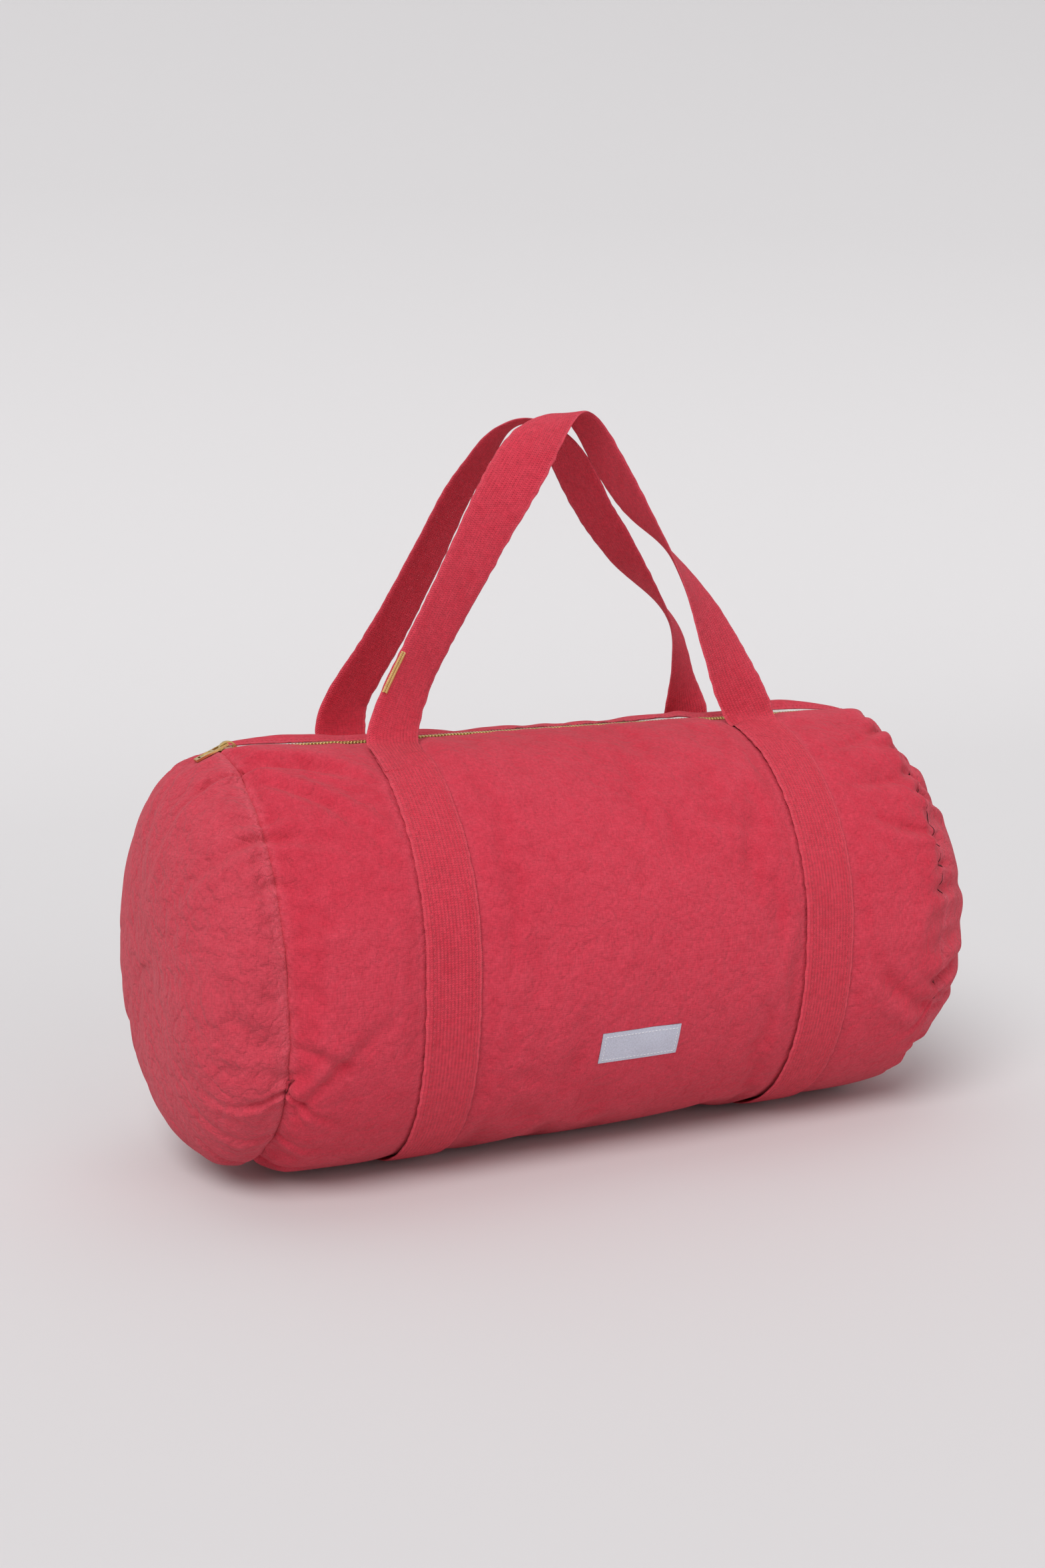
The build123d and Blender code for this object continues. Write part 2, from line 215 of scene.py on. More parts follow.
def fabric(name, dark, base, pale, weave="plain", pitch=1.05 * MM, wear=0.55, bump=0.5, crumple=0.0,
           relief=0.25 * MM):
    """Woven cloth on metre-scaled UVs: mottled dye, paler worn edges, yarn colour and a raised weave."""
    material, tree, shader = new_material(name)
    uv = node(tree, "ShaderNodeUVMap", uv_map="cloth").outputs["UV"]
    split = node(tree, "ShaderNodeSeparateXYZ", Vector=uv).outputs
    blotch = value_range(tree, cloth_noise(tree, uv, 55.0, 7.0), 0.25, 0.7)
    cloudy = value_range(tree, cloth_noise(tree, uv, 120.0, 6.0), 0.3, 0.7)
    heather = cloth_noise(tree, uv, 1.0 / pitch, 2.0, (0.35, 1.0, 1.0))
    cross = cloth_noise(tree, uv, 1.0 / pitch, 2.0, (1.0, 0.35, 1.0))
    yarn = plus(tree, times(tree, heather, 0.5), times(tree, cross, 0.5))
    colour = mix_colour(tree, plus(tree, times(tree, blotch, 0.5), 0.35), dark, base)
    colour = mix_colour(tree, times(tree, cloudy, 0.16), colour, pale)
    worn = node(tree, "ShaderNodeAttribute", attribute_name="wear").outputs["Fac"]
    scuff = value_range(tree, cloth_noise(tree, uv, 420.0, 4.0), 0.35, 0.65, 0.35, 1.0)
    worn = times(tree, times(tree, worn, scuff), wear)
    colour = mix_colour(tree, worn, colour, pale)
    speck = value_range(tree, yarn, 0.34, 0.66, 0.82, 1.14)
    tint = node(tree, "ShaderNodeVectorMath", operation="SCALE", Scale=speck)
    tree.links.new(colour, tint.inputs[0])
    tree.links.new(tint.outputs[0], shader.inputs["Base Color"])
    turn = 2 * math.pi / pitch
    if weave == "plain":
        warp = maths(tree, "SINE", times(tree, split[0], turn / 2))
        weft = maths(tree, "SINE", times(tree, split[1], turn / 2))
        height = maths(tree, "ABSOLUTE", times(tree, warp, weft))
    else:
        column = maths(tree, "PINGPONG", split[0], 1.2 * MM)
        slant = plus(tree, times(tree, split[1], turn), times(tree, column, turn * 1.2))
        groove = maths(tree, "SMOOTH_MIN", maths(tree, "DIVIDE", column, 0.5 * MM), 1.0)
        height = plus(tree, times(tree, maths(tree, "SINE", slant), 0.45), groove)
    height = plus(tree, height, times(tree, yarn, 1.6))
    creased = None
    for scale, share in ((45.0, 1.0), (110.0, 0.45)):
        ridge = maths(tree, "ABSOLUTE", maths(tree, "SUBTRACT", cloth_noise(tree, uv, scale, 2.0), 0.5))
        ridge = times(tree, value_range(tree, ridge, 0.0, 0.09), share)
        creased = ridge if creased is None else plus(tree, creased, ridge)
    rumpled = node(tree, "ShaderNodeBump", Strength=0.5, Distance=crumple, Height=creased)
    raised = node(tree, "ShaderNodeBump", Strength=bump, Distance=relief, Height=height)
    tree.links.new(rumpled.outputs["Normal"], raised.inputs["Normal"])
    tree.links.new(raised.outputs["Normal"], shader.inputs["Normal"])
    for key, value in (("Roughness", 0.92), ("Specular IOR Level", 0.2), ("Sheen Weight", 0.06),
                       ("Sheen Roughness", 0.6)):
        shader.inputs[key].default_value = value
    return material


def metal(name, base, dark, roughness):
    """Tumbled brass, with slight dulling and fine scratches."""
    material, tree, shader = new_material(name)
    place = node(tree, "ShaderNodeTexCoord").outputs["Object"]
    dull = value_range(tree, cloth_noise(tree, place, 260.0, 4.0), 0.35, 0.7)
    tree.links.new(mix_colour(tree, maths(tree, "MULTIPLY", dull, 0.6), base, dark),
                   shader.inputs["Base Color"])
    tree.links.new(value_range(tree, dull, 0, 1, roughness, roughness + 0.16), shader.inputs["Roughness"])
    scratch = cloth_noise(tree, place, 1500.0, 2.0, (1, 6, 6))
    raised = node(tree, "ShaderNodeBump", Strength=0.12, Distance=0.05 * MM, Height=scratch)
    tree.links.new(raised.outputs["Normal"], shader.inputs["Normal"])
    shader.inputs["Metallic"].default_value = 1.0
    return material


add_camera()
add_stage()
add_light()
canvas_cloth = fabric("canvas_cloth", (0.46, 0.021, 0.042), (0.575, 0.033, 0.062), (0.70, 0.098, 0.142),
                      crumple=1.1 * MM)
end_cloth = fabric("end_cloth", (0.46, 0.028, 0.050), (0.57, 0.046, 0.074), (0.68, 0.115, 0.155),
                   crumple=2.0 * MM)
binding_cloth = fabric("binding_cloth", (0.40, 0.024, 0.042), (0.5, 0.034, 0.060), (0.6, 0.08, 0.11))
webbing_cloth = fabric("webbing_cloth", (0.66, 0.032, 0.060), (0.80, 0.046, 0.086), (0.92, 0.13, 0.18),
                       weave="twill", pitch=1.5 * MM, wear=0.5, bump=1.0, relief=0.55 * MM)
red_thread = fabric("red_thread", (0.50, 0.04, 0.065), (0.58, 0.06, 0.09), (0.66, 0.12, 0.16), pitch=0.4 * MM)
white_thread = fabric("white_thread", (0.72, 0.72, 0.74), (0.82, 0.82, 0.84), (0.9, 0.9, 0.92),
                      pitch=0.4 * MM)
gold_thread = metal("gold_thread", (0.98, 0.80, 0.38), (0.74, 0.56, 0.22), 0.36)
label_cloth = fabric("label_cloth", (0.46, 0.47, 0.56), (0.54, 0.56, 0.66), (0.64, 0.66, 0.74),
                     pitch=0.5 * MM, bump=0.25)
tape_cloth = fabric("tape_cloth", (0.70, 0.68, 0.64), (0.80, 0.78, 0.75), (0.88, 0.87, 0.85),
                    weave="twill", pitch=0.9 * MM)
brass = metal("brass", (0.76, 0.57, 0.23), (0.40, 0.29, 0.10), 0.24)


# ---- Mesh helpers ----
edge_ripple = 0.75 * MM
edge_wear = 0.8


def make_piece(name, verts, faces, material, uvs=None, wear=None, normals=None):
    """A smooth closed mesh, turned right side out. uvs and wear are per vertex."""
    verts = np.asarray(verts, float)
    quads = np.array([f for f in faces if len(f) == 4])
    corners = verts[quads] - verts.mean(axis=0)
    volume = np.sum(corners[:, 0] * np.cross(corners[:, 1], corners[:, 2])
                    + corners[:, 0] * np.cross(corners[:, 2], corners[:, 3]))
    if volume < 0:
        faces = [f[::-1] for f in faces]
    mesh = bpy.data.meshes.new(name)
    mesh.from_pydata(verts.tolist(), [], faces)
    mesh.shade_smooth()
    loops = np.zeros(len(mesh.loops), int)
    mesh.loops.foreach_get("vertex_index", loops)
    layer = mesh.uv_layers.new(name="cloth")
    layer.data.foreach_set("uv", (verts[:, [0, 2]] if uvs is None else np.asarray(uvs, float))[loops].ravel())
    worn = mesh.attributes.new("wear", "FLOAT", "POINT")
    worn.data.foreach_set("value", np.zeros(len(verts)) if wear is None else np.asarray(wear, float))
    mesh.materials.append(material)
    if normals is not None:
        mesh.normals_split_custom_set_from_vertices(np.asarray(normals, float).tolist())
    return add_object(name, mesh)


def grid_faces(rows, columns, closed=False, first=0):
    """Quads between neighbouring rows of a grid of vertices."""
    i, j = np.meshgrid(np.arange(rows - 1), np.arange(columns if closed else columns - 1), indexing="ij")
    k = (j + 1) % columns
    corners = (i * columns + j, (i + 1) * columns + j, (i + 1) * columns + k, i * columns + k)
    return [tuple(face) for face in (first + np.stack(corners, axis=-1).reshape(-1, 4)).tolist()]


def grid_of(*parts):
    """Coordinates of different shapes, spread to one grid."""
    return np.stack(np.broadcast_arrays(*parts), axis=-1)


def grid_normals(points, closed=False):
    along = np.gradient(points, axis=0)
    if closed:
        across = (np.roll(points, -1, axis=1) - np.roll(points, 1, axis=1)) / 2
    else:
        across = np.gradient(points, axis=1)
    return unit(np.cross(along, across))


def unit(vectors):
    return vectors / np.maximum(np.linalg.norm(vectors, axis=-1, keepdims=True), 1e-12)


def smoothstep(value):
    value = np.clip(value, 0.0, 1.0)
    return value * value * (3 - 2 * value)


def refine(points, axis, closed=False):
    """One cubic subdivision of a grid along one axis. Open ends stay where they are."""
    points = np.moveaxis(points, axis, 0)
    before = np.roll(points, 1, axis=0)
    after = np.roll(points, -1, axis=0)
    kept = points * 0.75 + (before + after) * 0.125
    if not closed:
        kept[0], kept[-1] = points[0], points[-1]
    fine = np.empty((2 * len(points),) + points.shape[1:])
    fine[0::2], fine[1::2] = kept, (points + after) / 2
    if not closed:
        fine = fine[:-1]
    return np.moveaxis(fine, 0, axis)


def shell_piece(name, points, normals, uvs, wear, thickness, material, closed=False):
    """A sheet of cloth of real thickness, from a grid of outer points. The rim is closed."""
    rows, columns = points.shape[:2]
    outer, facing = points.reshape(-1, 3), normals.reshape(-1, 3)
    count = rows * columns
    faces = grid_faces(rows, columns, closed)
    faces += [tuple(reversed([i + count for i in face])) for face in faces]
    rims = [list(range(columns)), [(rows - 1) * columns + i for i in reversed(range(columns))]]
    if not closed:
        rims += [[i * columns for i in reversed(range(rows))],
                 [i * columns + columns - 1 for i in range(rows)]]
    for rim in rims:
        ring = rim + ([rim[0]] if closed else [])
        faces += [(a, b, b + count, a + count) for a, b in zip(ring[:-1], ring[1:])]
    return make_piece(name, np.vstack([outer, outer - facing * thickness]), faces, material,
                      np.tile(uvs.reshape(-1, 2), (2, 1)), np.tile(wear.reshape(-1), 2),
                      np.vstack([facing, -facing]))


def ribbon_piece(name, centres, across, outward, width, thickness, material):
    """Webbing along a line: a closed band with rounded edges. across and outward are unit vectors."""
    profile = []
    for side in (1, -1):
        for share in np.linspace(-side, side, 15):
            profile.append((share * width / 2, side * thickness / 2 * (1 - abs(share) ** 7) ** 0.5, share))
    profile = np.array(profile)
    around = len(profile)
    steps = np.linalg.norm(np.diff(centres, axis=0), axis=1)
    along = np.concatenate([[0.0], np.cumsum(steps)])
    rows = len(centres)
    ripple = np.array([[noise.noise(Vector((s * 160, e * 7.0, width * 900))) for e in (-1, 1)]
                       for s in along])
    edge = np.where(profile[:, 2] > 0, ripple[:, 1:2], ripple[:, 0:1]) * np.abs(profile[:, 2]) ** 6
    reach = profile[:, 0] + np.sign(profile[:, 0]) * edge * edge_ripple
    verts = (centres[:, None] + across[:, None] * reach[..., None]
             + outward[:, None] * profile[None, :, 1, None])
    faces = grid_faces(rows, around, closed=True)
    faces += [tuple(range(around)), tuple((rows - 1) * around + i for i in reversed(range(around)))]
    uvs = grid_of(profile[None, :, 0], along[:, None])
    wear = np.broadcast_to(np.abs(profile[None, :, 2]) ** 10 * edge_wear, (rows, around))
    return make_piece(name, verts.reshape(-1, 3), faces, material, uvs.reshape(-1, 2), wear.reshape(-1))


def threads_piece(name, middles, runs, outward, material, length, width):
    """One mesh of separate stitches. Each is a rounded thread that dips into the cloth at its ends."""
    height = width * 0.55
    shares = np.array((-1.0, -0.72, 0.0, 0.72, 1.0))
    spins = np.arange(8) * math.pi / 4
    verts, faces, uvs = [], [], []
    for middle, run, up in zip(middles, runs, outward):
        run = np.asarray(run, float)
        side = unit(np.cross(up, run))
        first = len(verts)
        for share in shares:
            fat = math.sqrt(max(0.04, 1 - abs(share) ** 3))
            for spin in spins:
                verts.append(middle + run * share * length / 2 + side * math.cos(spin) * width / 2 * fat
                             + up * (math.sin(spin) * height * fat - abs(share) ** 2 * height * 0.5))
                uvs.append((share * length / 2, spin * width / 6))
        faces += grid_faces(len(shares), len(spins), closed=True, first=first)
        last = first + (len(shares) - 1) * len(spins)
        faces += [tuple(first + i for i in range(8)), tuple(last + i for i in reversed(range(8)))]
    return make_piece(name, verts, faces, material, uvs)


def finish_piece(piece, slot, body, *nodes):
    """Hide the CAD nodes a piece stands for and attach it to the body it rides on, if any. slot is not used."""
    if nodes:
        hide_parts(*nodes)
    if body:
        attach(piece, body)
    return piece


# ---- The stuffed canvas body ----
columns = 132
barrel_rows = 75
dome_rows = 22
edge_turn = math.asin(zip_reveal / barrel_radius)
turns = edge_turn + (2 * math.pi - 2 * edge_turn) * np.arange(columns) / (columns - 1)
turns = np.append(turns, 2 * math.pi)          # the last column closes the bag at the zip
dome_height = 57 * MM
lower_power = 2.36
seam_random = random.Random(11)
cloth_frames = 22
cloth_travel = 9 * MM


def strap_gap(x):
    """How far x is from the nearer edge of the nearer strap. It is negative under the strap."""
    return np.abs(np.abs(x) - strap_x) - webbing_width / 2


def barrel_surface(x, turn):
    """The canvas without its creases. turn is the angle from the top, towards the front."""
    x, turn = np.broadcast_arrays(x, turn)
    end_share = smoothstep((np.abs(x) - 0.185) / (half_length - 0.185))
    low = floor_contact + strap_lift + 5.0 * MM * smoothstep((np.abs(x) - 0.19) / 0.07) ** 1.5
    width = barrel_radius + 0.8 * MM * end_share - 3.2 * MM * np.exp(-(half_length - np.abs(x)) / (5 * MM))
    rise = barrel_radius - 3.0 * MM * end_share ** 2 * (x > 0)
    press = (2.6 * smoothstep(1 - strap_gap(x) / (20 * MM)) - 1.6) * MM * 0.7
    sine, cosine = np.sin(turn), np.cos(turn)
    lower = cosine < 0
    power = np.where(lower, 2 / lower_power, 1.0)
    height = np.where(lower, top_centre_z - low, rise - press)
    arc = barrel_radius * (((turn + math.pi) % (2 * math.pi)) - math.pi)
    zip_dip = 2.4 * MM * np.exp(-(arc / (13 * MM)) ** 2) * (1 - 0.6 * end_share)
    rear_puff = (1.0 * MM + 2.4 * MM * smoothstep((np.abs(x) - 0.06) / 0.06)
                 + 4.0 * MM * np.exp(-((x - 0.19) / 0.028) ** 2))
    lip = (rear_puff * np.exp(-((arc + 17 * MM) / (8 * MM)) ** 2)
           * smoothstep((half_length - np.abs(x)) / (15 * MM)))
    y = -(width - press) * np.sign(sine) * np.abs(sine) ** power
    z = top_centre_z + (height - zip_dip + lip) * np.sign(cosine) * np.abs(cosine) ** power
    return np.stack([x, y, z], axis=-1)


def crease_list(count, strength, longest):
    """Random puckers that start at a seam: place round the seam, depth, length, width and slant."""
    made = []
    for i in range(count):
        place = 2 * math.pi * (i + seam_random.uniform(-0.45, 0.45)) / count
        made.append((place, strength * seam_random.uniform(0.15, 1.0) ** 1.4,
                     longest * seam_random.uniform(0.25, 1.0) ** 1.5,
                     seam_random.uniform(1.6, 4.2) * MM, seam_random.uniform(-0.8, 0.8)))
    return made


def crease_depth(creases, turn, distance):
    """How far puckers press the canvas in, at an angle and a distance from the seam."""
    depth = np.zeros(np.broadcast(turn, distance).shape)
    for place, deep, length, width, slant in creases:
        offset = (turn - place + math.pi) % (2 * math.pi) - math.pi
        arc = offset * barrel_radius - slant * distance * (1 - 0.4 * distance / length)
        spread = width * (1 + 1.6 * distance / length)
        fade = np.clip(1 - distance / length, 0, 1) ** 1.2
        share = arc / spread
        depth += deep * fade * (np.exp(-share ** 2) - 0.45 * np.exp(-((share - 1.9) / 1.1) ** 2))
    return depth


def seam_groove(distance):
    return 3.0 * MM * np.exp(-distance / (2.6 * MM))


def fold_depth(folds, x, turn):
    """Longer folds in the side: start and end as x and angle, depth and width."""
    depth = np.zeros(np.broadcast(turn, x).shape)
    for (x0, t0), (x1, t1), deep, width in folds:
        start, way = np.array((x0, t0 * barrel_radius)), np.array((x1 - x0, (t1 - t0) * barrel_radius))
        length = np.hypot(*way)
        px, py = x - start[0], turn * barrel_radius - start[1]
        along = (px * way[0] + py * way[1]) / length ** 2
        aside = (px * way[1] - py * way[0]) / length
        bow = 0.08 * length * np.sin(math.pi * np.clip(along, 0, 1))
        fade = np.clip(along * 5, 0, 1) * np.clip((1 - along) * 2, 0, 1)
        share = (aside - bow) / width
        depth += deep * fade * (np.exp(-share ** 2) - 0.6 * np.exp(-((share - 1.8) / 1.2) ** 2))
    return depth


def noise_at(points, scale, seed):
    flat = points.reshape(-1, 3)
    values = [noise.noise(Vector(p) * scale + Vector((seed, 2 * seed, 3 * seed))) for p in flat]
    return np.array(values).reshape(points.shape[:-1])


def build_canvas_grid():
    """All of the canvas as one grid: left dome, barrel and right dome, with soft waves in the cloth."""
    crowd = np.linspace(-1, 1, barrel_rows)
    xs = half_length * (1.12 * crowd - 0.12 * crowd ** 5)
    barrel = barrel_surface(xs[:, None], turns[None, :])
    normals = grid_normals(barrel)
    normals *= np.sign(np.dot(normals[barrel_rows // 2, columns // 4], (0, -1, 0)))
    waves = noise_at(barrel * np.array((1.0, 1.6, 1.6)), 9.0, 3.1) * 1.6 * MM
    waves += noise_at(barrel * np.array((1.3, 0.8, 1.0)), 21.0, 8.3) * 0.7 * MM
    free = smoothstep(strap_gap(xs) / (20 * MM))[:, None]
    barrel = barrel + normals * (waves * free)[..., None]
    barrel[..., 2] = np.maximum(barrel[..., 2], lowest_cloth)
    domes = []
    for end, seed in ((-1, 5.7), (1, 9.2)):
        ring = barrel[0] if end < 0 else barrel[-1]
        middle = np.array((0.0, 0.0, (ring[:, 2].max() + ring[:, 2].min()) / 2))
        angle = (1 - np.linspace(1, 0, dome_rows)[1:]) * math.pi / 2
        shares = np.cos(angle) ** 0.92
        shares[-1] = 0.012
        under = smoothstep(0.5 - np.cos(turns) / 1.4)
        if end < 0:
            bulge = np.clip(1 - shares[:, None] ** (2.7 + 1.6 * under), 0, 1) ** 0.58
            bulge *= dome_height - 3 * MM * under
        else:
            bulge = (1 - shares[:, None] ** (1.8 + 1.0 * under)) * dome_height * 0.85
        rows = middle + (ring[None] - middle) * shares[:, None, None]
        rows[..., 0] = end * (half_length + bulge)
        reach = (1 - shares)[:, None] * barrel_radius
        waves = noise_at(rows * np.array((1.0, 2.6, 0.8)), 12.0, seed) * 2.6 * MM
        waves += noise_at(rows * np.array((1.0, 2.2, 0.7)), 33.0, seed) * 0.9 * MM
        rows[..., 0] += end * waves * np.clip(reach / (25 * MM), 0, 1)
        domes.append(rows)
    return xs, np.concatenate([domes[0][::-1], barrel, domes[1]], axis=0)


def relax_canvas(grid):
    """Blow the bag up a little as cloth gathered at its seams, so that its creases fall naturally."""
    rows, width = grid.shape[:2]
    faces = grid_faces(rows, width, closed=True)
    faces.append(tuple(range(width)))
    faces.append(tuple((rows - 1) * width + i for i in reversed(range(width))))
    body = make_piece("canvas_trial", grid.reshape(-1, 3), faces, canvas_cloth)
    hold = body.vertex_groups.new(name="hold")
    gather = body.vertex_groups.new(name="gather")
    for i in range(rows):
        row_x = abs(grid[i, width // 4, 0])
        under_strap = strap_gap(row_x) < 3 * MM
        hold_weight = 1.0 if i < 3 or i >= rows - 3 or under_strap else 0.10
        inside = list(range(i * width, (i + 1) * width))
        hold.add(inside, hold_weight, "REPLACE")
        gather.add(inside, math.exp(-((row_x - half_length) / (9 * MM)) ** 2), "REPLACE")
        hold.add([i * width + width - 1, i * width, i * width + width - 2], max(hold_weight, 0.85), "REPLACE")
    cloth = body.modifiers.new("cloth", "CLOTH")
    settings = {"quality": 6, "mass": 0.15, "tension_stiffness": 20, "compression_stiffness": 20,
                "shear_stiffness": 8, "bending_stiffness": 0.35, "use_pressure": True,
                "uniform_pressure_force": 2.2, "vertex_group_mass": "hold", "pin_stiffness": 0.6,
                "vertex_group_shrink": "gather", "shrink_min": -0.012, "shrink_max": 0.06}
    for key, value in settings.items():
        setattr(cloth.settings, key, value)
    cloth.settings.effector_weights.gravity = 0
    cloth.collision_settings.use_collision = False
    cloth.point_cache.frame_start = 1
    cloth.point_cache.frame_end = cloth_frames
    for step in range(1, cloth_frames + 1):
        bpy.context.scene.frame_set(step)
    posed = body.evaluated_get(bpy.context.evaluated_depsgraph_get())
    moved = np.zeros(rows * width * 3)
    posed.data.vertices.foreach_get("co", moved)
    bpy.context.scene.frame_set(1)
    bpy.data.objects.remove(body)
    shift = moved.reshape(grid.shape) - grid
    size = np.linalg.norm(shift, axis=2, keepdims=True)
    return grid + shift * np.minimum(1, cloth_travel / np.maximum(size, 1e-9))


xs, canvas = build_canvas_grid()
canvas = relax_canvas(canvas)

dome_count = dome_rows - 1
flat = barrel_surface(xs[:, None], turns[None, :])
strap_hold = smoothstep(1 - strap_gap(xs) / (8 * MM))[:, None, None]
barrel_part = canvas[dome_count:dome_count + barrel_rows]
barrel_part += (flat - barrel_part) * strap_hold
canvas[..., 2] = np.maximum(canvas[..., 2], lowest_cloth)

barrel_grid = canvas[dome_count:dome_count + barrel_rows, :columns]
grid_x, grid_turn = xs[:, None, None], turns[None, :columns, None]
for _ in range(2):
    barrel_grid = refine(refine(barrel_grid, 0), 1)
    grid_x, grid_turn = refine(grid_x, 0), refine(grid_turn, 1)
grid_x, grid_turn = grid_x[:, 0, 0], grid_turn[0, :, 0]


def outward_normals(grid):
    normals = grid_normals(grid)
    return normals * np.sign(normals[len(grid_x) // 2, len(grid_turn) // 4, 1]) * -1


seam_creases = {-1: crease_list(52, 4.4 * MM, 80 * MM), 1: crease_list(56, 6.0 * MM, 75 * MM)}
long_folds = [((-0.249, 14 * deg), (-0.160, 38 * deg), 4.2 * MM, 6 * MM),
              ((-0.249, 25 * deg), (-0.165, 62 * deg), 3.6 * MM, 5 * MM),
              ((-0.249, 128 * deg), (-0.17, 96 * deg), 2.8 * MM, 5 * MM),
              ((-0.249, 104 * deg), (-0.20, 112 * deg), 3.0 * MM, 4 * MM),
              ((0.249, 18 * deg), (0.17, 34 * deg), 4.0 * MM, 5 * MM),
              ((0.249, 42 * deg), (0.165, 47 * deg), 3.6 * MM, 5 * MM),
              ((0.249, 66 * deg), (0.18, 58 * deg), 3.4 * MM, 4 * MM),
              ((0.249, 120 * deg), (0.165, 92 * deg), 3.4 * MM, 6 * MM),
              ((0.249, 300 * deg), (0.17, 322 * deg), 3.6 * MM, 5 * MM),
              ((-0.249, 335 * deg), (-0.17, 310 * deg), 3.6 * MM, 5 * MM),
              ((0.11, 60 * deg), (0.02, 44 * deg), 0.9 * MM, 6 * MM),
              ((-0.115, 118 * deg), (-0.04, 128 * deg), 0.9 * MM, 6 * MM)]
from_seam = half_length - np.abs(grid_x)[:, None]
pressed = np.where(grid_x[:, None] < 0, *(crease_depth(seam_creases[end], grid_turn[None, :], from_seam)
                                          for end in (-1, 1)))
pressed += fold_depth(long_folds, grid_x[:, None], grid_turn[None, :])
from_strap = strap_gap(grid_x)
off_strap = smoothstep(from_strap / (10 * MM))[:, None]
from_zip = np.minimum(grid_turn, 2 * math.pi - grid_turn)[None, :] * barrel_radius
off_zip = smoothstep((from_zip - 9 * MM) / (14 * MM))
pressed = pressed * off_strap * off_zip + seam_groove(from_seam)
barrel_grid = barrel_grid - outward_normals(barrel_grid) * pressed[..., None]
barrel_grid[..., 2] = np.maximum(barrel_grid[..., 2], lowest_cloth)
barrel_normals = outward_normals(barrel_grid)
barrel_uv = grid_of(grid_x[:, None], grid_turn[None, :] * barrel_radius)
bump_out = barrel_grid - barrel_surface(grid_x[:, None], grid_turn[None, :])
bump_out = np.einsum("ijk,ijk->ij", bump_out, barrel_normals)
barrel_wear = np.clip(np.exp(-(from_seam / (4.5 * MM)) ** 2)
                      + 0.55 * np.exp(-(from_strap[:, None] / (5 * MM)) ** 2)
                      + 0.6 * np.exp(-((from_zip - zip_reveal) / (4 * MM)) ** 2)
                      + np.clip(bump_out / (2.5 * MM), 0, 1) * 0.35, 0, 1)


def on_canvas(x, turn):
    """Points of the finished canvas and their outward normals."""
    x, turn = np.broadcast_arrays(np.asarray(x, float), np.asarray(turn, float))
    row = np.interp(x, grid_x, np.arange(len(grid_x)))
    column = np.interp(turn, grid_turn, np.arange(len(grid_turn)))
    i = np.clip(row.astype(int), 0, len(grid_x) - 2)
    j = np.clip(column.astype(int), 0, len(grid_turn) - 2)
    u, v = (row - i)[..., None], (column - j)[..., None]
    found = []
    for grid in (barrel_grid, barrel_normals):
        found.append((grid[i, j] * (1 - u) + grid[i + 1, j] * u) * (1 - v)
                     + (grid[i, j + 1] * (1 - u) + grid[i + 1, j + 1] * u) * v)
    return found[0], unit(found[1])


# ---- Lengths and sides of the wrap, the end panels and the seam binding ----
part_bounds = {"left": (-1.0, -strap_x), "middle": (-strap_x, strap_x), "right": (strap_x, 1.0)}
sides = {"front": -1, "rear": 1}


def follow_mouth(piece, side_name, part):
    """Works out a ramp from the side's shoulder up to the zip lip, with a slope along x for the end lengths;
    nothing uses it. The piece's transform is baked into its mesh.
    """
    side = sides[side_name]
    shoulder, lip = Vector((0, side * 115 * MM, 217 * MM)), Vector((0, side * 3 * MM, 287 * MM))
    gradient = (lip - shoulder) / (lip - shoulder).length_squared
    gradient.x = {"left": 1 / (110 * MM), "middle": 0.0, "right": -1 / (88 * MM)}[part]
    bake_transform(piece)


def add_canvas(side_name):
    """The wrap on one side of the zip, in three lengths."""
    half = len(grid_turn) // 2
    span = slice(0, half + 1) if side_name == "front" else slice(half, len(grid_turn))
    for part, (low_x, high_x) in part_bounds.items():
        first = 0 if part == "left" else int(np.argmin(np.abs(grid_x - low_x)))
        last = len(grid_x) - 1 if part == "right" else int(np.argmin(np.abs(grid_x - high_x)))
        rows = slice(first, last + 1)
        piece = shell_piece(f"canvas_{side_name}_{part}", barrel_grid[rows, span], barrel_normals[rows, span],
                            barrel_uv[rows, span], barrel_wear[rows, span], canvas_thickness, canvas_cloth)
        finish_piece(piece, "canvas", None, "body_panel", f"mouth_canvas_{side_name}")
        follow_mouth(piece, side_name, part)


def press_under_puller(points):
    """The cloth is pressed down where the hanging puller lies on it."""
    along = puller_pin.x - points[..., 0]
    underside = puller_pin.z - math.tan(puller_tilt + puller_hang) * along - 1.7 * MM
    near = smoothstep(1 - (np.abs(points[..., 1]) - 5 * MM) / (11 * MM))
    near *= smoothstep(1 - (along - 25 * MM) / (13 * MM))
    points[..., 2] -= near * np.maximum(points[..., 2] - underside, 0)


def dome_normals(dome, end):
    normals = grid_normals(dome, closed=True)
    return normals * np.sign(normals[len(dome) // 2, 0, 0]) * end


